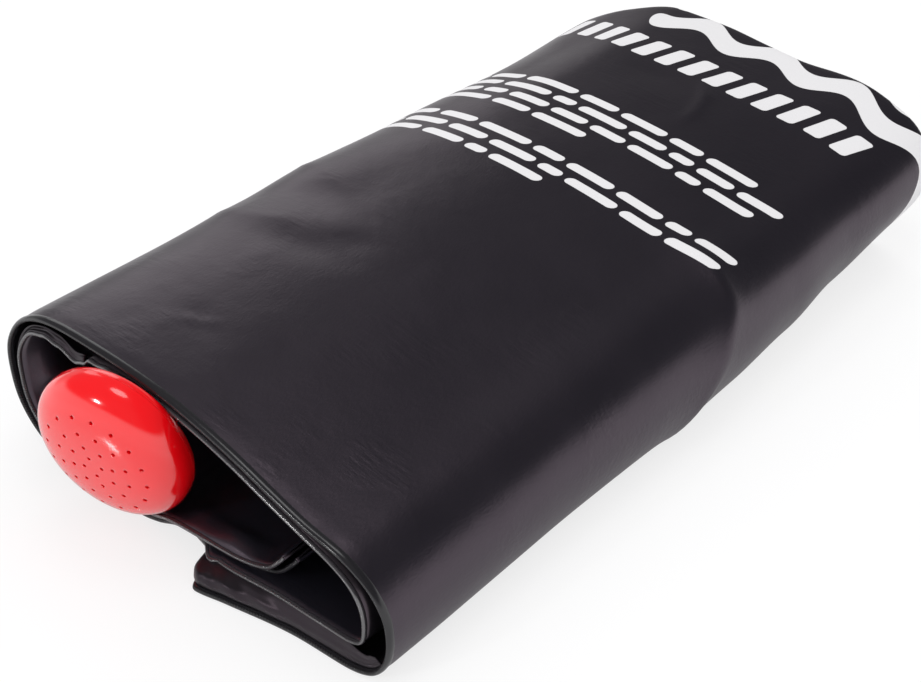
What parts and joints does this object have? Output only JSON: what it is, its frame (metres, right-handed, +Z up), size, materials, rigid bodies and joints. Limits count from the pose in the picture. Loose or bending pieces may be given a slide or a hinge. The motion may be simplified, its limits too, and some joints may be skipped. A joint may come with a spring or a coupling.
{
  "type": "camp shower bag",
  "caption": "Camp shower bag folded flat for storage: film wrapped round an open hollow, with its push-pull spray head in the mouth and its hose, outlet and filler inside.",
  "frame": {"origin": "centre of the folded bag's footprint, on the surface it lies on", "axes": "+X across the folded bag, +Y from the mouth with the spray head towards the far fold, +Z up"},
  "size_m": [0.1724, 0.3322, 0.0619],
  "materials": {
    "front_film": "charcoal film with a fine embossed grain, satin",
    "back_film": "black film, smooth and slightly glossy",
    "patch_film": "black reinforcing film, satin",
    "red_plastic": "bright red moulded plastic, glossy",
    "cap_plastic": "red moulded plastic, satin",
    "black_plastic": "black moulded plastic, satin",
    "seal_rubber": "black rubber, matt",
    "hose_vinyl": "black soft vinyl hose, glossy",
    "eyelet_metal": "nickel plated, bright"
  },
  "bodies": {
    "bag": {"front_panel": "front_film", "back_panel": "back_film", "eyelet_left": "eyelet_metal", "eyelet_washer_left": "eyelet_metal", "eyelet_right": "eyelet_metal", "eyelet_washer_right": "eyelet_metal", "valve_stem": "black_plastic", "stem_o_ring_front": "seal_rubber", "stem_o_ring_rear": "seal_rubber", "hose": "hose_vinyl", "hose_clip_stem": "black_plastic", "hose_clip_outlet": "black_plastic", "outlet_patch": "patch_film", "outlet_flange": "black_plastic", "outlet_elbow": "black_plastic", "outlet_o_ring": "seal_rubber", "spout_patch": "patch_film", "fill_spout": "black_plastic"},
    "spray_head": {"head_face": "red_plastic", "head_body": "red_plastic", "neck_collar": "black_plastic"},
    "cap_carrier": {"cap_seal": "seal_rubber", "cap_tether": "black_plastic"},
    "cap": {"fill_cap": "cap_plastic"}
  },
  "joints": [
    {"name": "head_slide", "type": "slide", "parent": "bag", "child": "spray_head", "axis": [0.206, -0.9712, -0.12], "range_m": [0, 0.0075]},
    {"name": "cap_lift", "type": "slide", "parent": "bag", "child": "cap_carrier", "axis": [0, 0, 1], "range_m": [0, 0.006]},
    {"name": "cap_turn", "type": "hinge", "parent": "cap_carrier", "child": "cap", "pos_m": [-0.04343, 0.11289, 0.02], "axis": [0, 0, 1], "range_deg": [0, 720]}
  ],
  "couplings": [
    {"joint": "cap_lift", "follows": "cap_turn", "m_per_rad": 0.000477}
  ]
}
